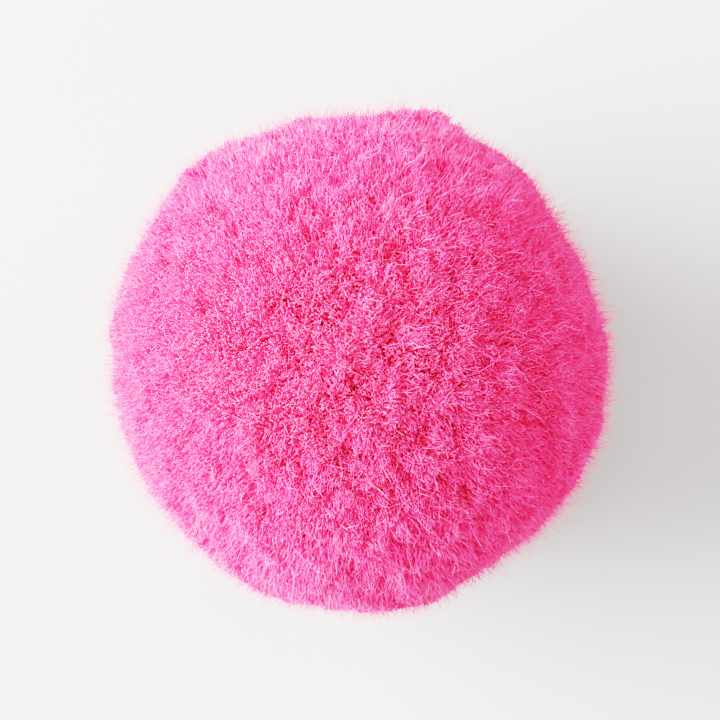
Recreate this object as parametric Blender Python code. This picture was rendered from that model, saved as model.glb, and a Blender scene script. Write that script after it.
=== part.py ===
"""Small craft pom pom: locks of cut yarn that spring from one heart and are trimmed to a ball.

The heart is a faceted ball. Each of its facets carries one lock of three or four sides, which
stands apart from its neighbours, widens on its way out and ends in a rounded tip. The trim is
uneven: the surface has proud and low places, and one long tuft. Under the ball the locks are
shorter, and their tips lie level on the surface that it rests on.

Metres, +Z up. The origin lies under the middle of the ball, on the surface it rests on.
"""

import math
import random

import bmesh
import bpy
from mathutils import Vector

# Driving dimensions, in metres
DIAMETER = 0.025  # across the trimmed ball
SQUASH = 0.0008  # how much lower the ball is than it is wide, pressed flat where it rests
HEART_DIAMETER = 0.0145  # where the locks part from one another
PARTING = 0.00026  # clear space between neighbouring locks where they leave the heart

# The locks
HEART_POINTS = 270  # corners of the heart's facets, which give about a tenth more locks
SCATTER = 0.20  # how far a corner strays from an even layout, as a share of their spacing
FLARE = 1.05  # how much wider a lock gets, beyond its natural spread away from the heart
LENGTH_SPREAD = 0.010  # how much longer or shorter than its neighbours a lock is, as a share
SEED = 7

# A lock's tip, as shares of its reach from the middle of the ball and of its full width
SHOULDER_REACH = 0.955
RIM_REACH = 0.988
RIM_WIDTH = 0.76

# Proud (+) and low (-) places of the trim: where the place lies, how wide it is and how far
# it rises, as a share of the radius. Azimuth runs from +X towards +Y.
TRIM_COLUMNS = ("azimuth_deg", "elevation_deg", "spread_deg", "rise")
TRIM = (
    (25, 4, 18, -0.058),
    (91, -2, 9, -0.034),
    (131, 6, 11, 0.040),
    (163, 10, 14, 0.018),
    (221, -3, 12, -0.028),
    (249, 5, 12, 0.026),
    (274, 0, 13, 0.026),
    (311, 6, 12, -0.048),
    (336, 8, 13, 0.018),
    (60, 44, 22, 0.014),
    (150, 52, 18, -0.014),
    (285, 48, 24, 0.012),
    (15, -38, 22, 0.012),
    (120, -34, 20, -0.016),
    (235, -40, 24, 0.012),
)

# The one long tuft, which stands proud of the trim
TUFT_AZIMUTH = math.radians(75)
TUFT_ELEVATION = math.radians(3)
TUFT_SPREAD = math.radians(7)
TUFT_RISE = 0.058

YARN_COLOUR = (0.93, 0.085, 0.30, 1.0)
YARN_ROUGHNESS = 0.95

RADIUS = DIAMETER / 2
HEART_RADIUS = HEART_DIAMETER / 2
CENTRE_HEIGHT = RADIUS - SQUASH
GOLDEN_TURN = math.pi * (3 - math.sqrt(5))


def clear_scene():
    for ob in list(bpy.data.objects):
        bpy.data.objects.remove(ob, do_unlink=True)


def yarn_material():
    material = bpy.data.materials.new("pink_yarn")
    material.use_nodes = True
    shader = material.node_tree.nodes["Principled BSDF"]
    shader.inputs["Base Color"].default_value = YARN_COLOUR
    shader.inputs["Roughness"].default_value = YARN_ROUGHNESS
    shader.inputs["Metallic"].default_value = 0.0
    return material


def direction(azimuth, elevation):
    level = math.cos(elevation)
    return Vector((level * math.cos(azimuth), level * math.sin(azimuth), math.sin(elevation)))


def scattered_directions(count, chance):
    """Directions spread nearly evenly over the ball along a spiral, each a little astray."""
    spacing = math.sqrt(4 * math.pi / count)
    found = []
    for i in range(count):
        height = 1 - (2 * i + 1) / count
        even = direction(i * GOLDEN_TURN, math.asin(height))
        astray = Vector([chance.uniform(-1, 1) for _ in range(3)]) * SCATTER * spacing
        found.append((even + astray).normalized())
    return found


def swell(towards, place, spread):
    """1 in the middle of a place of the trim, and falling to 0 outside it."""
    return math.exp(-((towards.angle(place) / spread) ** 2))


def trimmed_radius(towards):
    """How far the trimmed surface is from the middle of the ball in this direction."""
    rise = TUFT_RISE * swell(towards, direction(TUFT_AZIMUTH, TUFT_ELEVATION), TUFT_SPREAD)
    for row in TRIM:
        place = dict(zip(TRIM_COLUMNS, row))
        middle = direction(math.radians(place["azimuth_deg"]), math.radians(place["elevation_deg"]))
        rise += place["rise"] * swell(towards, middle, math.radians(place["spread_deg"]))
    return RADIUS * (1 + rise)


def floor_radius(towards):
    """How far the surface that the ball rests on is from its middle in this direction."""
    if towards.z >= 0:
        return math.inf
    return -CENTRE_HEIGHT / towards.z


def heart_facets(bm, chance):
    """The faceted heart round the origin, with one facet facing straight down."""
    for towards in scattered_directions(HEART_POINTS, chance):
        bm.verts.new(towards * HEART_RADIUS)
    bmesh.ops.convex_hull(bm, input=bm.verts[:])
    bmesh.ops.join_triangles(
        bm,
        faces=bm.faces[:],
        angle_face_threshold=math.radians(60),
        angle_shape_threshold=math.radians(60),
    )
    down = Vector((0, 0, -1))
    squares = [face for face in bm.faces if len(face.verts) == 4]
    lowest = min(squares, key=lambda face: face.calc_center_median().angle(down))
    turn = lowest.calc_center_median().rotation_difference(down)
    bmesh.ops.rotate(bm, verts=bm.verts[:], cent=(0, 0, 0), matrix=turn.to_matrix())
    bmesh.ops.recalc_face_normals(bm, faces=bm.faces[:])
    return bm.faces[:]


def drawn_out(bm, face, width, reach, length):
    """Draws a lock's end face out and returns it, scaled to width and laid at a share of its reach."""
    end = bmesh.ops.extrude_discrete_faces(bm, faces=[face])["faces"][0]
    axis = end.calc_center_median().normalized()
    for vert in end.verts:
        spread = vert.co.normalized() - axis
        towards = (axis + spread * width).normalized()
        vert.co = towards * laid_radius(towards, reach, length)
    return end


def laid_radius(towards, reach, length):
    """A share of the lock's reach from the middle. A tip that meets the floor lies level on it."""
    free = reach * length * trimmed_radius(towards)
    below = floor_radius(towards)
    return min(free, below if reach > SHOULDER_REACH else reach * below)


def grow_lock(bm, facet, chance):
    length = 1 + chance.uniform(-LENGTH_SPREAD, LENGTH_SPREAD)
    shoulder = drawn_out(bm, facet, FLARE, SHOULDER_REACH, length)
    rim = drawn_out(bm, shoulder, RIM_WIDTH, RIM_REACH, length)
    axis = rim.calc_center_median().normalized()
    crown = bmesh.ops.poke(bm, faces=[rim])["verts"][0]
    crown.co = axis * laid_radius(axis, 1.0, length)


def pom_pom_mesh():
    chance = random.Random(SEED)
    bm = bmesh.new()
    facets = heart_facets(bm, chance)
    bmesh.ops.inset_individual(bm, faces=facets, thickness=PARTING / 2, use_even_offset=True)
    for facet in facets:
        grow_lock(bm, facet, chance)
    bmesh.ops.translate(bm, verts=bm.verts[:], vec=(0, 0, CENTRE_HEIGHT))
    mesh = bpy.data.meshes.new("pom_pom")
    bm.to_mesh(mesh)
    bm.free()
    mesh.shade_smooth()
    mesh.set_sharp_from_angle(angle=math.radians(50))
    return mesh


def make_pom_pom():
    pom_pom = bpy.data.objects.new("pom_pom", pom_pom_mesh())
    pom_pom.data.materials.append(yarn_material())
    bpy.context.scene.collection.objects.link(pom_pom)
    return pom_pom


def main():
    clear_scene()
    make_pom_pom()


main()
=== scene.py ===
"""The looks of a small pink craft pom pom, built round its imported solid.

Run as a script in Blender. It is laid out as an add-on: the sizes and colours are properties of the
scene, each group of pieces has its own operator, and a panel in the sidebar lists them.

The pom pom is made in layers: the heart of its locks, the dense pile of fibres that makes the
velvety trim, gathered in small tufts with pits between them, and the loose curled fuzz that stands
out of it. Metres, +Z up, in the frame of the solid.
"""

import math
from collections import namedtuple

import bmesh
import bpy
import numpy as np
from mathutils import Matrix, Vector


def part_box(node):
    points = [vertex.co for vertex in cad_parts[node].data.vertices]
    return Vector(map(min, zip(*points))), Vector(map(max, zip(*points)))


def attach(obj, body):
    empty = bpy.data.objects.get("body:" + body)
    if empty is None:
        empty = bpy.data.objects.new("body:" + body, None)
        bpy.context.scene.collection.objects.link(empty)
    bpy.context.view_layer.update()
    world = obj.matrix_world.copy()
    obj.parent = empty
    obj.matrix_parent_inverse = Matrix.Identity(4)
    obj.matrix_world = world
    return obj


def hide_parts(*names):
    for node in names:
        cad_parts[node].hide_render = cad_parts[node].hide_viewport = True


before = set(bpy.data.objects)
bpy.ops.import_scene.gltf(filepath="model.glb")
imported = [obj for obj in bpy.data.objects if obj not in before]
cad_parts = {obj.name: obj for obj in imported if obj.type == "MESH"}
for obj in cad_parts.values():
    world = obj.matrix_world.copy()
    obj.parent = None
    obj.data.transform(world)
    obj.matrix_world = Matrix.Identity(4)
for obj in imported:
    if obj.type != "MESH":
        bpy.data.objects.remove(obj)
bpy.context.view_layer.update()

bl_info = {
    "name": "Craft Pom Pom",
    "version": (1, 0, 0),
    "blender": (4, 5, 0),
    "location": "View3D > Sidebar > Pom Pom",
    "description": "Builds a small fuzzy craft pom pom of cut pink yarn",
    "category": "Object",
}

NODE = "pom_pom"
BODY = "root"

LOW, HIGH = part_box(NODE)
WIDTH = (HIGH.x - LOW.x + HIGH.y - LOW.y) / 2
# The middle of the ball, which is pressed flat underneath, so half its width below its top
MIDDLE = Vector((0, 0, HIGH.z - WIDTH / 2))

# The heart and the trimmed surface
HEART_SHARE = 0.90  # size of the heart beside the solid
TIP_ZONE = 0.94  # a vertex of the solid past this share of its reach belongs to a lock's tip
SURFACE_STEPS = 6  # subdivisions of the ball that the trim is laid on
SURFACE_BLUR = math.radians(4)  # how far round a lock's tip steers the trim
SURFACE_SWELL = 1.012  # brings the trim from the middle of the locks' tips out to their ends
MERGE_DISTANCE = 1e-6  # corners nearer than this become one
LEAST = 1e-9  # keeps a division clear of zero
NOISE_MIDDLE = 0.5  # what noise nodes give on average

# The one long tuft of the trim, whose fibres reach a little past the solid's lock
LONG_AZIMUTH = math.radians(75)
LONG_ELEVATION = math.radians(3)
LONG_SPREAD = math.radians(7)
LONG_RISE = 0.00035  # how far past it they reach

# Tufts of the pile
TUFT_SEED = 3
TUFT_DENSITY = 5e6  # more than fit, so that their spacing decides
WARP_SCALE = 1300.0  # noise that bends the tufts' borders, in waves a metre
WARP = 0.0009  # how far the borders are bent
TUFT_DETAIL = 1.0  # detail of this noise, and of that of the broad places
PIT_START = 0.50  # where a tuft's border starts to dip, in tuft spacings from its middle
PIT_END = 0.80  # where it is lowest
PIT_SHADE = 0.50  # painted shade: how much darker the yarn is painted there
GATHER = 0.70  # how far a fibre's root lies from its tuft's middle, as a share of its tip's way
TUFT_LEAN = 0.00020  # how far the roots of a whole tuft stray together
TUFT_UNEVEN = 0.00010  # how much a tuft stands out or back
TUFT_TINT = 0.10  # how much a tuft is darker or paler

# Broad places of the pile, lighter and darker, prouder and lower
BROAD_SCALE = 280.0  # noise that gives them, in waves a metre
BROAD_SHADE = 1.0  # how much of the noise goes into the tint
BROAD_DIP = 0.0007  # how far the trim rises or sinks for it

# Fibres of the pile
UNEVEN = 0.00022  # how much shorter than its tuft a fibre may be cut
UNEVEN_BIAS = 2.0  # above 1, most fibres are cut only a little shorter
PROUD_LEAST = 0.00010  # how far the fine fibres stand out of the trim at least
PROUD_BIAS = 1.6  # above 1, few stand out far
ANYWHERE = -1.0  # lower than any place on the ball
TIP_HEIGHT = 0.00008  # no tip lies lower than this above the floor
ROOT_HEIGHT = 0.0004  # and no root lower than this
WIDTH_SPREAD = 0.25  # how much a fibre is thinner or thicker than the next, as a share
TINT_SPREAD = 0.18  # how much it is darker or paler
FIBRE_SIDES = 3
CUT_END = 0.5  # radius of a cut end, in fibre widths
FINE_ROOT = 0.8  # radius of a fine fibre's root, in fibre widths
FINE_SHARE = 0.5  # how much of a fine fibre is made, from its tip, as the pile hides the rest
SEED_STEP = 10  # between the random draws of one part of the pile and those of the next
# What each random draw for a fibre adds to the seed of its part of the pile
(SHORTER_DRAW, PROUD_DRAW, STRAY_DRAW, TINT_DRAW, SPIN_DRAW, WIDTH_DRAW, MAP_DRAW) = range(1, 8)
# For each part of the pile: whether its fibres' ends are cut or fine, how many it has and how wide
# they are beside the sizes that the user sets, how far down in the pile they end, how far out of the
# trim they may stand instead, and how far their roots stray
PILE_COLUMNS = ("name", "cut", "fibres", "width", "sunk", "proud", "stray")
PILE = (
    ("pile_1", True, 1.00, 2.25, 0.00050, 0.0, 0.00060),
    ("pile_2", True, 1.15, 1.00, 0.0, 0.0, 0.00060),
    ("pile_3", True, 1.15, 1.00, 0.0, 0.0, 0.00060),
    ("pile_4", False, 0.92, 0.72, 0.0, 0.00075, 0.00100),
    ("pile_5", False, 0.92, 0.72, 0.0, 0.00075, 0.00100),
)

# The fibres' UV map: across by tint, and up from root to tip
MAP_NAME = "OFBake"
MAP_TINT = 1.6  # the palest tint on the map
MAP_EDGE = 0.01  # how wide the map's empty edge is
MAP_STRAY = 0.002  # how far each vertex strays on the map, which gives every face some width there

# Loose fuzz
FUZZ_SEED = 71
# What each random draw for a loose fibre adds to it
(LEAN_DRAW, REACH_DRAW, APART_DRAW, FUZZ_TINT_DRAW, FUZZ_MAP_DRAW) = range(1, 6)
FUZZ_STEPS = 4  # straight parts of a loose fibre
FUZZ_LEAN = 0.75  # how far it leans away from upright
FUZZ_SUNK = 0.0007  # how far down in the pile it starts
FUZZ_LEAST = 0.0002  # how far out of the trim the shortest stands
FUZZ_BIAS = 2.2  # above 1, few stand out far
FUZZ_WAVES = 1100.0  # noise that curls it, in waves a metre
FUZZ_CURL = 0.0026  # how far it curls
FUZZ_DETAIL = 0.0  # this noise is smooth, so the curls are
FUZZ_APART = 9.0  # how far apart in the noise two loose fibres may lie, so that no two curl alike
FUZZ_TAPER = 0.6  # how much thinner its end is
FUZZ_TINTS = (0.75, 1.15)  # the deepest and the palest
FUZZ_ALONG = (0.6, 1.0)  # painted shade: how light it is at its root, down in the pile, and at its end

# Yarn
SHADE_NAME = "yarn_shade"
SHADE_INPUTS = (
    ("Outward", "NodeSocketFloat"),
    ("Tint", "NodeSocketFloat"),
    ("Painted Shade", "NodeSocketColor"),
    ("Light", "NodeSocketColor"),
)
YARN_ROUGHNESS = 0.5
YARN_SHEEN = 0.20
SHEEN_ROUGHNESS = 0.5
HEART_ROUGHNESS = 0.9
HEART_STREAKS = 60.0  # noise that parts the heart's yarn into fibres, in waves round the middle
HEART_DETAIL = 3.0
HEART_RELIEF = 0.0002  # depth of those fibres

# Stage
FLOOR_SIZE = 1.5  # from its middle to its edges
FLOOR_ROUGHNESS = 0.8
WORLD_COLOUR = (1, 1, 1, 1)
WORLD_STRENGTH = 0.97
# Round lights that face the ball: where they are, how wide they are, and their watts
LIGHT_COLUMNS = ("name", "place", "size", "power")
LIGHTS = (
    ("key", (-0.257, 0.040, 0.12), 0.30, 9.4),
    ("side", (0.22, 0.08, 0.10), 0.10, 0.4),
    ("fill", (0.05, 0.02, 0.35), 0.25, 0.7),
)
VIEW_TRANSFORM = "Filmic"
VIEW_LOOK = "Very High Contrast"
CAMERA_HEIGHT = 0.30  # above the middle of the ball
CAMERA_LENS = 300  # millimetres, as is the sensor's width
CAMERA_SENSOR = 36
CAMERA_NEAR = 0.01


# ---------------------------------------------------------------- sizes and colours


def length(name, description, default, precision=5):
    return bpy.props.FloatProperty(
        name=name,
        description=description,
        default=default,
        min=0,
        subtype="DISTANCE",
        unit="LENGTH",
        precision=precision,
    )


def colour(name, description, default):
    return bpy.props.FloatVectorProperty(
        name=name,
        description=description,
        default=default,
        subtype="COLOR",
        size=4,
        min=0,
        max=1,
    )


class PomPomSizes(bpy.types.PropertyGroup):
    fibres: bpy.props.IntProperty(
        name="Fibres",
        description="About how many fibres each part of the pile holds",
        default=40000,
        min=100,
    )
    fibre_width: length("Fibre width", "Width of a fibre at its cut end", 0.000062, 6)
    fibre_length: length("Fibre length", "How far a fibre reaches down into the pile", 0.0017)
    tuft_spacing: length("Tuft spacing", "Least distance between two tufts", 0.00088)
    tuft_dip: length("Tuft dip", "How much shorter the fibres are at a tuft's border", 0.00036)
    strays: bpy.props.IntProperty(
        name="Loose fibres",
        description="How many curled fibres stand out of the trim",
        default=6000,
        min=10,
    )
    stray_width: length("Loose fibre width", "Width of a loose fibre", 0.000034, 6)
    stray_reach: length("Loose fibre reach", "How far the longest stand out of the trim", 0.0010)


class PomPomColours(bpy.types.PropertyGroup):
    tip: colour("Fibre tips", "Yarn at the outer ends of its fibres", (0.99, 0.070, 0.25, 1))
    # Painted shade: this colour stands in for the shade down in the pile and in the pits between the
    # tufts
    painted_shade: colour("Painted shade at fibre roots", "Yarn down in the pits between the tufts", (0.97, 0.035, 0.16, 1))
    # The heart's pink is a little darker than the tips', painted shade for the yarn that lies under
    # the pile
    heart: colour("Heart", "Yarn of the locks under the pile", (0.97, 0.05, 0.21, 1))
    floor: colour("Floor", "Pale ground that the pom pom lies on", (0.36, 0.357, 0.352, 1))


# ---------------------------------------------------------------- helpers for node trees


def enabled(sockets, name=None):
    """The first socket in use, or the first in use of this name."""
    return next(s for s in sockets if s.enabled and name in (None, s.name))


def fill(tree, socket, value):
    if isinstance(value, bpy.types.NodeSocket):
        tree.links.new(value, socket)
    else:
        socket.default_value = value


def add_node(tree, kind, inputs=None, **settings):
    """Adds a node, sets its settings and fills its inputs with values or with links to sockets."""
    node = tree.nodes.new(kind)
    for name, value in settings.items():
        setattr(node, name, value)
    for name, value in (inputs or {}).items():
        fill(tree, enabled(node.inputs, name), value)
    return node


def maths(tree, operation, *values):
    node = add_node(tree, "ShaderNodeMath", operation=operation)
    for socket, value in zip(node.inputs, values):
        fill(tree, socket, value)
    return node.outputs[0]


def vector_maths(tree, operation, *values):
    node = add_node(tree, "ShaderNodeVectorMath", operation=operation)
    for socket, value in zip([s for s in node.inputs if s.enabled], values):
        fill(tree, socket, value)
    return enabled(node.outputs)


def scaled(tree, vector, share):
    return vector_maths(tree, "SCALE", vector, share)


def random_number(tree, low, high, seed, index=None):
    inputs = {"Min": low, "Max": high, "Seed": seed}
    if index is not None:
        inputs["ID"] = index
    return enabled(add_node(tree, "FunctionNodeRandomValue", inputs, data_type="FLOAT").outputs)


def random_vector(tree, reach, seed, index=None):
    """A vector whose three parts lie anywhere between minus and plus reach."""
    inputs = {"Min": (-reach,) * 3, "Max": (reach,) * 3, "Seed": seed}
    if index is not None:
        inputs["ID"] = index
    kind = "FLOAT_VECTOR"
    return enabled(add_node(tree, "FunctionNodeRandomValue", inputs, data_type=kind).outputs)


def noise_node(tree, position, scale, detail):
    inputs = {"Vector": position, "Scale": scale, "Detail": detail}
    return add_node(tree, "ShaderNodeTexNoise", inputs)


def noise_vector(tree, position, scale, detail):
    """Smooth noise round zero in three parts."""
    noise = noise_node(tree, position, scale, detail).outputs["Color"]
    return vector_maths(tree, "SUBTRACT", noise, (NOISE_MIDDLE,) * 3)


def noise_number(tree, position, scale, detail):
    """Smooth noise round zero."""
    noise = noise_node(tree, position, scale, detail).outputs["Fac"]
    return maths(tree, "SUBTRACT", noise, NOISE_MIDDLE)


def stored(tree, geometry, name, kind, value, domain="POINT"):
    inputs = {"Geometry": geometry, "Name": name, "Value": value}
    node = add_node(
        tree, "GeometryNodeStoreNamedAttribute", inputs, data_type=kind, domain=domain
    )
    return node.outputs["Geometry"]


def named(tree, name, kind):
    node = add_node(tree, "GeometryNodeInputNamedAttribute", {"Name": name}, data_type=kind)
    return enabled(node.outputs)


def mapped_by_colour(tree, geometry, seed):
    """Gives the fibres a UV map on which a vertex lies by what sets its colour: tint and place."""
    inputs = {
        "Value": named(tree, "tint", "FLOAT"),
        "From Max": MAP_TINT,
        "To Min": MAP_EDGE,
        "To Max": 1 - MAP_EDGE,
    }
    across = add_node(tree, "ShaderNodeMapRange", inputs).outputs["Result"]
    inputs = {
        "Value": named(tree, "along", "FLOAT"),
        "To Min": MAP_EDGE,
        "To Max": 1 - MAP_EDGE,
    }
    up = add_node(tree, "ShaderNodeMapRange", inputs).outputs["Result"]
    place = add_node(tree, "ShaderNodeCombineXYZ", {"X": across, "Y": up}).outputs[0]
    vertex = add_node(tree, "GeometryNodeVertexOfCorner").outputs["Vertex Index"]
    stray = random_vector(tree, MAP_STRAY, seed, vertex)
    place = vector_maths(tree, "ADD", place, stray)
    return stored(tree, geometry, MAP_NAME, "FLOAT2", place, domain="CORNER")


def new_tree(name):
    tree = bpy.data.node_groups.new(name, "GeometryNodeTree")
    tree.interface.new_socket("Geometry", in_out="INPUT", socket_type="NodeSocketGeometry")
    tree.interface.new_socket("Geometry", in_out="OUTPUT", socket_type="NodeSocketGeometry")
    return tree


def finished_by(tree, name, mesh, material):
    """A piece whose mesh is what the node tree makes of mesh."""
    ob = bpy.data.objects.new(name, mesh)
    bpy.context.scene.collection.objects.link(ob)
    modifier = ob.modifiers.new("make", "NODES")
    modifier.node_group = tree
    deps = bpy.context.evaluated_depsgraph_get()
    made = bpy.data.meshes.new_from_object(ob.evaluated_get(deps), depsgraph=deps)
    made.name = name
    ob.modifiers.remove(modifier)
    ob.data = made
    made.materials.clear()
    made.materials.append(material)
    return ob


# ---------------------------------------------------------------- materials


def plain_material(name, base, roughness):
    material = bpy.data.materials.new(name)
    material.use_nodes = True
    shader = material.node_tree.nodes["Principled BSDF"]
    shader.inputs["Base Color"].default_value = base
    shader.inputs["Roughness"].default_value = roughness
    return material


def shade_group():
    """The node group that colours all the yarn, with painted shade where it lies hidden in the pile
    and lighter outside.
    """
    if SHADE_NAME in bpy.data.node_groups:
        return bpy.data.node_groups[SHADE_NAME]
    tree = bpy.data.node_groups.new(SHADE_NAME, "ShaderNodeTree")
    for name, kind in SHADE_INPUTS:
        tree.interface.new_socket(name, in_out="INPUT", socket_type=kind)
    tree.interface.new_socket("Shade", in_out="OUTPUT", socket_type="NodeSocketColor")
    given = add_node(tree, "NodeGroupInput").outputs
    inputs = {
        "Factor": maths(tree, "MULTIPLY", given["Outward"], given["Tint"]),
        "A": given["Painted Shade"],
        "B": given["Light"],
    }
    mix = add_node(tree, "ShaderNodeMix", inputs, data_type="RGBA")
    fill(tree, add_node(tree, "NodeGroupOutput").inputs["Shade"], enabled(mix.outputs))
    return tree


def shade(tree, outward, tint, painted_shade, light):
    node = add_node(tree, "ShaderNodeGroup", node_tree=shade_group())
    for name, value in (("Outward", outward), ("Tint", tint), ("Painted Shade", painted_shade), ("Light", light)):
        fill(tree, node.inputs[name], value)
    return node.outputs["Shade"]


def yarn_material(name, tip, painted_shade):
    """Soft acrylic yarn: painted shade down in the pile, lighter at the tips, no two alike."""
    material = plain_material(name, tip, YARN_ROUGHNESS)
    tree = material.node_tree
    shader = tree.nodes["Principled BSDF"]
    along = add_node(tree, "ShaderNodeAttribute", attribute_name="along").outputs["Fac"]
    tint = add_node(tree, "ShaderNodeAttribute", attribute_name="tint").outputs["Fac"]
    fill(tree, shader.inputs["Base Color"], shade(tree, along, tint, painted_shade, tip))
    shader.inputs["Sheen Weight"].default_value = YARN_SHEEN
    shader.inputs["Sheen Roughness"].default_value = SHEEN_ROUGHNESS
    return material


def heart_material(heart, painted_shade):
    """Yarn of the locks under the pile: streaks that run outwards from the middle of the ball,
    mixing its pink with the painted shade of the pits.
    """
    material = plain_material("yarn_heart", heart, HEART_ROUGHNESS)
    tree = material.node_tree
    shader = tree.nodes["Principled BSDF"]
    place = add_node(tree, "ShaderNodeTexCoord").outputs["Object"]
    outward = vector_maths(tree, "SUBTRACT", place, tuple(MIDDLE))
    outward = vector_maths(tree, "NORMALIZE", outward)
    streak = noise_node(tree, outward, HEART_STREAKS, HEART_DETAIL).outputs["Fac"]
    fill(tree, shader.inputs["Base Color"], shade(tree, streak, 1.0, painted_shade, heart))
    bump = add_node(tree, "ShaderNodeBump", {"Height": streak, "Distance": HEART_RELIEF})
    fill(tree, shader.inputs["Normal"], bump.outputs["Normal"])
    return material


# ---------------------------------------------------------------- heart and trim


def merged_solid():
    """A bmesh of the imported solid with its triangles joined."""
    bm = bmesh.new()
    bm.from_mesh(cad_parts[NODE].data)
    bmesh.ops.remove_doubles(bm, verts=bm.verts[:], dist=MERGE_DISTANCE)
    return bm


def heart_mesh():
    bm = merged_solid()
    about_middle = Matrix.Translation(-MIDDLE)
    bmesh.ops.scale(bm, vec=(HEART_SHARE,) * 3, verts=bm.verts[:], space=about_middle)
    mesh = bpy.data.meshes.new("heart")
    bm.to_mesh(mesh)
    bm.free()
    return mesh


def lock_tips():
    """Which way from the middle the tips of the solid's locks lie, and how far."""
    solid = merged_solid()
    reach = np.array([vert.co - MIDDLE for vert in solid.verts])
    solid.free()
    lengths = np.linalg.norm(reach, axis=1)
    towards = reach / lengths[:, None]
    floor = MIDDLE.z / np.maximum(-towards[:, 2], LEAST)
    tips = lengths > TIP_ZONE * np.minimum(WIDTH / 2, floor)
    return towards[tips], lengths[tips]


def trim_mesh():
    """The trimmed surface: a ball whose every point is drawn out to the locks' tips near it."""
    towards, lengths = lock_tips()
    level = math.cos(LONG_ELEVATION)
    long_tuft = Vector(
        (level * math.cos(LONG_AZIMUTH), level * math.sin(LONG_AZIMUTH), math.sin(LONG_ELEVATION))
    )
    bm = bmesh.new()
    bmesh.ops.create_icosphere(bm, subdivisions=SURFACE_STEPS, radius=1)
    for vert in bm.verts:
        angle = np.arccos(np.clip(towards @ np.array(vert.co.normalized()), -1, 1))
        weight = np.exp(-((angle / SURFACE_BLUR) ** 2))
        reach = SURFACE_SWELL * float(weight @ lengths / weight.sum())
        reach += LONG_RISE * math.exp(-((vert.co.angle(long_tuft) / LONG_SPREAD) ** 2))
        vert.co = MIDDLE + vert.co.normalized() * reach
        vert.co.z = max(vert.co.z, 0)
    mesh = bpy.data.meshes.new("trim")
    bm.to_mesh(mesh)
    bm.free()
    mesh.shade_smooth()
    return mesh


def area_of(mesh):
    return sum(face.area for face in mesh.polygons)


# ---------------------------------------------------------------- fibres


def fibre_mesh(cut):
    """A straight fibre down from the origin: a whole one with a cut end, or a fine one's outer part.

    Its full length is 1, and it widens to its cut end, or tapers to its fine one.
    """
    share, root, tip = (1, 0, CUT_END) if cut else (FINE_SHARE, FINE_SHARE * FINE_ROOT, 0)
    bm = bmesh.new()
    bmesh.ops.create_cone(
        bm, cap_ends=True, segments=FIBRE_SIDES, radius1=root, radius2=tip, depth=share
    )
    bmesh.ops.remove_doubles(bm, verts=bm.verts[:], dist=MERGE_DISTANCE)
    bmesh.ops.translate(bm, verts=bm.verts[:], vec=(0, 0, -share / 2))
    bmesh.ops.recalc_face_normals(bm, faces=bm.faces[:])
    mesh = bpy.data.meshes.new("fibre")
    bm.to_mesh(mesh)
    bm.free()
    along = mesh.attributes.new("along", "FLOAT", "POINT")
    along.data.foreach_set("value", [1 + vert.co.z for vert in mesh.vertices])
    return mesh


# A point's tuft: its number, its middle, and how near its border the point is, from 0 to 1
Tuft = namedtuple("Tuft", ("number", "middle", "border"))


def tuft_layout(tree, source, position, spacing):
    """The tuft that each point of the trim belongs to."""
    inputs = {
        "Mesh": source,
        "Distance Min": spacing,
        "Density Max": TUFT_DENSITY,
        "Seed": TUFT_SEED,
    }
    tufts = add_node(
        tree, "GeometryNodeDistributePointsOnFaces", inputs, distribute_method="POISSON"
    ).outputs["Points"]
    bend = noise_vector(tree, position, WARP_SCALE, TUFT_DETAIL)
    bent = vector_maths(tree, "ADD", position, scaled(tree, bend, WARP))
    inputs = {"Geometry": tufts, "Sample Position": bent}
    number = add_node(tree, "GeometryNodeSampleNearest", inputs, domain="POINT").outputs["Index"]
    inputs = {"Geometry": tufts, "Value": position, "Index": number}
    middle = enabled(
        add_node(
            tree, "GeometryNodeSampleIndex", inputs, data_type="FLOAT_VECTOR", domain="POINT"
        ).outputs
    )
    distance = vector_maths(tree, "LENGTH", vector_maths(tree, "SUBTRACT", bent, middle))
    inputs = {
        "Value": distance,
        "From Min": PIT_START * spacing,
        "From Max": PIT_END * spacing,
    }
    border = add_node(
        tree, "ShaderNodeMapRange", inputs, interpolation_type="SMOOTHSTEP"
    ).outputs["Result"]
    return Tuft(number, middle, border)


def dip_of(tree, tuft, broad, part, sizes, seed):
    """How far below the trim a fibre ends."""
    shorter = random_number(tree, 0.0, 1.0, seed + SHORTER_DRAW)
    shorter = maths(tree, "POWER", shorter, UNEVEN_BIAS)
    tuft_back = random_number(tree, -TUFT_UNEVEN, TUFT_UNEVEN, TUFT_SEED, tuft.number)
    dip = maths(tree, "MULTIPLY", tuft.border, sizes.tuft_dip)
    dip = maths(tree, "ADD", dip, maths(tree, "MULTIPLY", shorter, UNEVEN))
    dip = maths(tree, "SUBTRACT", dip, maths(tree, "MULTIPLY", broad, BROAD_DIP))
    dip = maths(tree, "MAXIMUM", maths(tree, "ADD", dip, tuft_back), 0.0)
    if part["cut"]:
        return maths(tree, "ADD", dip, part["sunk"])
    out = maths(tree, "POWER", random_number(tree, 0.0, 1.0, seed + PROUD_DRAW), PROUD_BIAS)
    out = maths(tree, "ADD", PROUD_LEAST, maths(tree, "MULTIPLY", out, part["proud"]))
    return maths(tree, "SUBTRACT", dip, out)


def kept_above(tree, place, height):
    """The place, or one at this height above the floor where it lies lower."""
    return vector_maths(tree, "MAXIMUM", place, (ANYWHERE, ANYWHERE, height))


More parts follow.
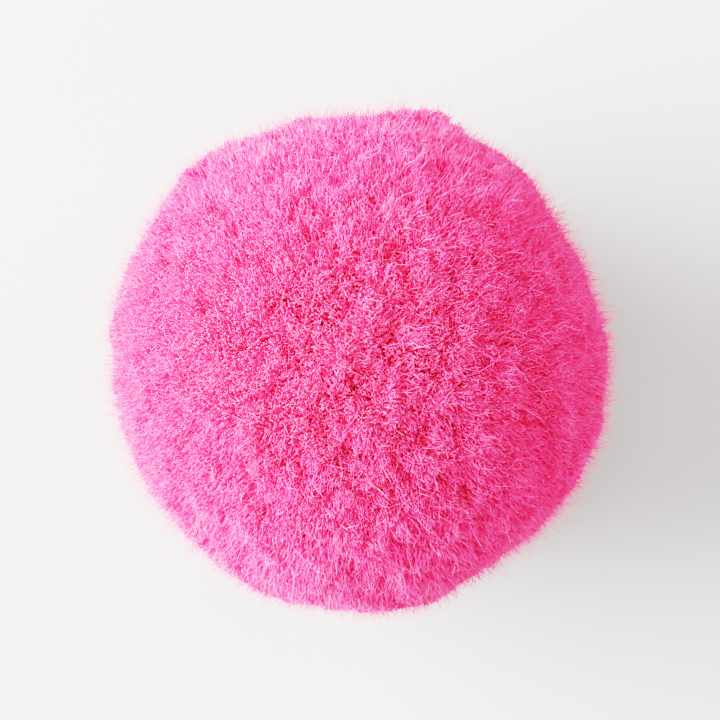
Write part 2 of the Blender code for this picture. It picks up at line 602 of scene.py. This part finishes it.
def root_place(tree, position, normal, tuft, part, sizes, seed):
    """Where a fibre's root lies: down in the pile, gathered with the other roots of its tuft."""
    away = vector_maths(tree, "SUBTRACT", position, tuft.middle)
    root = vector_maths(tree, "ADD", tuft.middle, scaled(tree, away, GATHER))
    root = vector_maths(tree, "SUBTRACT", root, scaled(tree, normal, sizes.fibre_length))
    stray = random_vector(tree, part["stray"], seed + STRAY_DRAW)
    root = vector_maths(tree, "ADD", root, stray)
    lean = random_vector(tree, TUFT_LEAN, TUFT_SEED, tuft.number)
    root = vector_maths(tree, "ADD", root, lean)
    return kept_above(tree, root, ROOT_HEIGHT)


def tint_of(tree, tuft, broad, seed):
    """How pale a fibre is: darker in the pits as painted shade, and uneven from place, tuft and
    fibre to the next.
    """
    tint = maths(tree, "SUBTRACT", 1.0, maths(tree, "MULTIPLY", tuft.border, PIT_SHADE))
    tint = maths(tree, "ADD", tint, maths(tree, "MULTIPLY", broad, BROAD_SHADE))
    uneven = random_number(tree, -TUFT_TINT, TUFT_TINT, TUFT_SEED, tuft.number)
    tint = maths(tree, "ADD", tint, uneven)
    uneven = random_number(tree, -TINT_SPREAD, TINT_SPREAD, seed + TINT_DRAW)
    return maths(tree, "ADD", tint, uneven)


def fibres_on(tree, points, fibre, part, sizes, seed):
    """A fibre on every point, from its stored root to its tip, spun and as wide as chance has it."""
    tip = named(tree, "tip", "FLOAT_VECTOR")
    line = vector_maths(tree, "SUBTRACT", tip, named(tree, "root", "FLOAT_VECTOR"))
    inputs = {"Geometry": points, "Position": tip}
    points = add_node(tree, "GeometryNodeSetPosition", inputs).outputs["Geometry"]
    upright = add_node(
        tree, "FunctionNodeAlignRotationToVector", {"Vector": line}, axis="Z"
    ).outputs["Rotation"]
    turn = random_number(tree, 0.0, math.tau, seed + SPIN_DRAW)
    inputs = {"Axis": (0, 0, 1), "Angle": turn}
    spin = add_node(tree, "FunctionNodeAxisAngleToRotation", inputs).outputs["Rotation"]
    inputs = {"Rotation": upright, "Rotate By": spin}
    turned = add_node(
        tree, "FunctionNodeRotateRotation", inputs, rotation_space="LOCAL"
    ).outputs["Rotation"]
    width = part["width"] * sizes.fibre_width
    thin, thick = (1 - WIDTH_SPREAD) * width, (1 + WIDTH_SPREAD) * width
    across = random_number(tree, thin, thick, seed + WIDTH_DRAW)
    inputs = {"X": across, "Y": across, "Z": vector_maths(tree, "LENGTH", line)}
    size = add_node(tree, "ShaderNodeCombineXYZ", inputs).outputs[0]
    inputs = {
        "Points": points,
        "Instance": add_node(tree, "GeometryNodeObjectInfo", {"Object": fibre}).outputs["Geometry"],
        "Rotation": turned,
        "Scale": size,
    }
    fibres = add_node(tree, "GeometryNodeInstanceOnPoints", inputs).outputs["Instances"]
    return add_node(tree, "GeometryNodeRealizeInstances", {"Geometry": fibres}).outputs["Geometry"]


def pile_tree(part, fibre, area, sizes, seed):
    """One part of the pile: a fibre on every random spot of the trim, drawn to its tuft's root."""
    tree = new_tree(part["name"])
    source = add_node(tree, "NodeGroupInput").outputs[0]
    position = add_node(tree, "GeometryNodeInputPosition").outputs[0]
    density = part["fibres"] * sizes.fibres / area
    inputs = {"Mesh": source, "Density": density, "Seed": seed}
    spots = add_node(
        tree, "GeometryNodeDistributePointsOnFaces", inputs, distribute_method="RANDOM"
    )
    normal = spots.outputs["Normal"]
    tuft = tuft_layout(tree, source, position, sizes.tuft_spacing)
    broad = noise_number(tree, position, BROAD_SCALE, TUFT_DETAIL)
    dip = dip_of(tree, tuft, broad, part, sizes, seed)
    tip = vector_maths(tree, "SUBTRACT", position, scaled(tree, normal, dip))
    tip = kept_above(tree, tip, TIP_HEIGHT)
    root = root_place(tree, position, normal, tuft, part, sizes, seed)
    tint = tint_of(tree, tuft, broad, seed)

    points = stored(tree, spots.outputs["Points"], "tip", "FLOAT_VECTOR", tip)
    points = stored(tree, points, "root", "FLOAT_VECTOR", root)
    points = stored(tree, points, "tint", "FLOAT", tint)
    made = fibres_on(tree, points, fibre, part, sizes, seed)
    for name in ("tip", "root"):
        inputs = {"Geometry": made, "Name": name}
        made = add_node(tree, "GeometryNodeRemoveAttribute", inputs).outputs["Geometry"]
    made = mapped_by_colour(tree, made, seed + MAP_DRAW)
    fill(tree, add_node(tree, "NodeGroupOutput").inputs[0], made)
    return tree


# ---------------------------------------------------------------- fuzz


def fuzz_lines(tree, source, density, sizes):
    """Straight lines that start in the pile and stand out of the trim at a random lean."""
    inputs = {"Mesh": source, "Density": density, "Seed": FUZZ_SEED}
    spots = add_node(
        tree, "GeometryNodeDistributePointsOnFaces", inputs, distribute_method="RANDOM"
    )
    normal = spots.outputs["Normal"]
    lean = random_vector(tree, FUZZ_LEAN, FUZZ_SEED + LEAN_DRAW)
    inputs = {"Vector": vector_maths(tree, "ADD", normal, lean)}
    rotation = add_node(tree, "FunctionNodeAlignRotationToVector", inputs, axis="Z")
    out = random_number(tree, 0.0, 1.0, FUZZ_SEED + REACH_DRAW)
    out = maths(tree, "POWER", out, FUZZ_BIAS)
    out = maths(tree, "MULTIPLY", out, sizes.stray_reach)
    inputs = {
        "Geometry": spots.outputs["Points"],
        "Offset": scaled(tree, normal, -FUZZ_SUNK),
    }
    points = add_node(tree, "GeometryNodeSetPosition", inputs).outputs["Geometry"]
    inputs = {"Start": (0, 0, 0), "End": (0, 0, 1)}
    line = add_node(tree, "GeometryNodeCurvePrimitiveLine", inputs).outputs["Curve"]
    inputs = {"Curve": line, "Count": FUZZ_STEPS + 1}
    line = add_node(tree, "GeometryNodeResampleCurve", inputs).outputs["Curve"]
    inputs = {
        "Points": points,
        "Instance": line,
        "Rotation": rotation.outputs["Rotation"],
        "Scale": maths(tree, "ADD", FUZZ_SUNK + FUZZ_LEAST, out),
    }
    lines = add_node(tree, "GeometryNodeInstanceOnPoints", inputs).outputs["Instances"]
    return add_node(tree, "GeometryNodeRealizeInstances", {"Geometry": lines}).outputs["Geometry"]


def curled(tree, lines, along, strand, sizes):
    """The lines bent more and more on their way out, each its own way, and kept off the floor."""
    position = add_node(tree, "GeometryNodeInputPosition").outputs[0]
    apart = random_vector(tree, FUZZ_APART, FUZZ_SEED + APART_DRAW, strand)
    place = vector_maths(tree, "ADD", position, apart)
    wave = noise_vector(tree, place, FUZZ_WAVES, FUZZ_DETAIL)
    curl = scaled(tree, wave, maths(tree, "MULTIPLY", along, FUZZ_CURL))
    inputs = {"Geometry": lines, "Offset": curl}
    lines = add_node(tree, "GeometryNodeSetPosition", inputs).outputs["Geometry"]
    inputs = {"Geometry": lines, "Position": kept_above(tree, position, sizes.stray_width)}
    return add_node(tree, "GeometryNodeSetPosition", inputs).outputs["Geometry"]


def strands_on(tree, lines, along, sizes):
    """Thin strands along the lines, thinner towards their ends."""
    inputs = {
        "Value": along,
        "To Min": sizes.stray_width / 2,
        "To Max": (1 - FUZZ_TAPER) * sizes.stray_width / 2,
    }
    radius = add_node(tree, "ShaderNodeMapRange", inputs).outputs["Result"]
    inputs = {"Curve": lines, "Radius": radius}
    lines = add_node(tree, "GeometryNodeSetCurveRadius", inputs).outputs["Curve"]
    inputs = {"Resolution": FIBRE_SIDES, "Radius": 1.0}
    profile = add_node(tree, "GeometryNodeCurvePrimitiveCircle", inputs).outputs["Curve"]
    inputs = {
        "Curve": lines,
        "Profile Curve": profile,
        "Scale": add_node(tree, "GeometryNodeInputRadius").outputs[0],
        "Fill Caps": True,
    }
    return add_node(tree, "GeometryNodeCurveToMesh", inputs).outputs["Mesh"]


def fuzz_tree(density, sizes):
    """Loose fibres: lines that curl more and more on their way out, made into thin strands."""
    tree = new_tree("fuzz")
    source = add_node(tree, "NodeGroupInput").outputs[0]
    along = add_node(tree, "GeometryNodeSplineParameter").outputs["Factor"]
    point = add_node(tree, "GeometryNodeInputIndex").outputs[0]
    strand = maths(tree, "FLOOR", maths(tree, "DIVIDE", point, float(FUZZ_STEPS + 1)))
    lines = fuzz_lines(tree, source, density, sizes)
    lines = curled(tree, lines, along, strand, sizes)
    # Painted shade: the loose fibre is darker towards its root, down in the pile
    inputs = {"Value": along, "To Min": FUZZ_ALONG[0], "To Max": FUZZ_ALONG[1]}
    depth = add_node(tree, "ShaderNodeMapRange", inputs).outputs["Result"]
    lines = stored(tree, lines, "along", "FLOAT", depth)
    tint = random_number(tree, *FUZZ_TINTS, FUZZ_SEED + FUZZ_TINT_DRAW, strand)
    lines = stored(tree, lines, "tint", "FLOAT", tint)
    made = strands_on(tree, lines, along, sizes)
    made = mapped_by_colour(tree, made, FUZZ_SEED + FUZZ_MAP_DRAW)
    fill(tree, add_node(tree, "NodeGroupOutput").inputs[0], made)
    return tree


# ---------------------------------------------------------------- operators


def finish_piece(ob):
    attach(ob, BODY)


class POMPOM_OT_heart(bpy.types.Operator):
    """Makes the heart of locks under the pile"""

    bl_idname = "pompom.heart"
    bl_label = "Heart"

    def execute(self, context):
        mesh = heart_mesh()
        colour_of = context.scene.pompom_colours
        mesh.materials.append(heart_material(colour_of.heart, colour_of.painted_shade))
        ob = bpy.data.objects.new("heart", mesh)
        context.scene.collection.objects.link(ob)
        finish_piece(ob)
        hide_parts(NODE)
        return {"FINISHED"}


class POMPOM_OT_pile(bpy.types.Operator):
    """Makes the dense pile of fibres, part by part"""

    bl_idname = "pompom.pile"
    bl_label = "Pile"

    def execute(self, context):
        sizes = context.scene.pompom_sizes
        colour_of = context.scene.pompom_colours
        trim = trim_mesh()
        area = area_of(trim)
        material = yarn_material("yarn_pile", colour_of.tip, colour_of.painted_shade)
        for index, row in enumerate(PILE):
            part = dict(zip(PILE_COLUMNS, row))
            fibre = bpy.data.objects.new("fibre", fibre_mesh(part["cut"]))
            tree = pile_tree(part, fibre, area, sizes, SEED_STEP * (index + 1))
            finish_piece(finished_by(tree, part["name"], trim, material))
            bpy.data.objects.remove(fibre)
        return {"FINISHED"}


class POMPOM_OT_fuzz(bpy.types.Operator):
    """Makes the loose curled fibres that stand out of the pile"""

    bl_idname = "pompom.fuzz"
    bl_label = "Fuzz"

    def execute(self, context):
        sizes = context.scene.pompom_sizes
        colour_of = context.scene.pompom_colours
        trim = trim_mesh()
        material = yarn_material("yarn_fuzz", colour_of.tip, colour_of.painted_shade)
        tree = fuzz_tree(sizes.strays / area_of(trim), sizes)
        finish_piece(finished_by(tree, "fuzz", trim, material))
        return {"FINISHED"}


class POMPOM_OT_stage(bpy.types.Operator):
    """Makes the floor, the soft studio lights and the camera"""

    bl_idname = "pompom.stage"
    bl_label = "Stage"

    def execute(self, context):
        scene = context.scene
        self.make_floor(scene)
        world = bpy.data.worlds.new("studio")
        world.use_nodes = True
        background = world.node_tree.nodes["Background"]
        background.inputs["Color"].default_value = WORLD_COLOUR
        background.inputs["Strength"].default_value = WORLD_STRENGTH
        scene.world = world
        for row in LIGHTS:
            self.make_light(scene, **dict(zip(LIGHT_COLUMNS, row)))
        self.make_camera(scene)
        scene.view_settings.view_transform = VIEW_TRANSFORM
        scene.view_settings.look = VIEW_LOOK
        return {"FINISHED"}

    def make_floor(self, scene):
        bm = bmesh.new()
        bmesh.ops.create_grid(bm, x_segments=1, y_segments=1, size=FLOOR_SIZE)
        mesh = bpy.data.meshes.new("floor")
        bm.to_mesh(mesh)
        bm.free()
        base = scene.pompom_colours.floor
        mesh.materials.append(plain_material("floor_paint", base, FLOOR_ROUGHNESS))
        floor = bpy.data.objects.new("floor", mesh)
        scene.collection.objects.link(floor)

    def make_light(self, scene, name, place, size, power):
        light = bpy.data.lights.new(name, "AREA")
        light.shape = "DISK"
        light.size = size
        light.energy = power
        ob = bpy.data.objects.new(name, light)
        ob.location = place
        ob.rotation_euler = (MIDDLE - Vector(place)).to_track_quat("-Z", "Y").to_euler()
        scene.collection.objects.link(ob)

    def make_camera(self, scene):
        camera = bpy.data.cameras.new("camera")
        camera.lens = CAMERA_LENS
        camera.sensor_width = CAMERA_SENSOR
        camera.clip_start = CAMERA_NEAR
        ob = bpy.data.objects.new("camera", camera)
        ob.location = MIDDLE + Vector((0, 0, CAMERA_HEIGHT))
        scene.collection.objects.link(ob)
        scene.camera = ob


OPERATORS = (POMPOM_OT_heart, POMPOM_OT_pile, POMPOM_OT_fuzz, POMPOM_OT_stage)


class POMPOM_PT_panel(bpy.types.Panel):
    """Lists the pom pom's sizes, colours and building steps"""

    bl_idname = "POMPOM_PT_panel"
    bl_label = "Pom Pom"
    bl_space_type = "VIEW_3D"
    bl_region_type = "UI"
    bl_category = "Pom Pom"

    def draw(self, context):
        for group in (context.scene.pompom_sizes, context.scene.pompom_colours):
            column = self.layout.column()
            for name in group.__annotations__:
                column.prop(group, name)
        for operator in OPERATORS:
            self.layout.operator(operator.bl_idname)


CLASSES = (PomPomSizes, PomPomColours, *OPERATORS, POMPOM_PT_panel)


def register():
    for cls in CLASSES:
        bpy.utils.register_class(cls)
    bpy.types.Scene.pompom_sizes = bpy.props.PointerProperty(type=PomPomSizes)
    bpy.types.Scene.pompom_colours = bpy.props.PointerProperty(type=PomPomColours)


def unregister():
    del bpy.types.Scene.pompom_colours
    del bpy.types.Scene.pompom_sizes
    for cls in reversed(CLASSES):
        bpy.utils.unregister_class(cls)


def main():
    register()
    bpy.ops.pompom.heart()
    bpy.ops.pompom.pile()
    bpy.ops.pompom.fuzz()
    bpy.ops.pompom.stage()


if __name__ == "__main__":
    main()
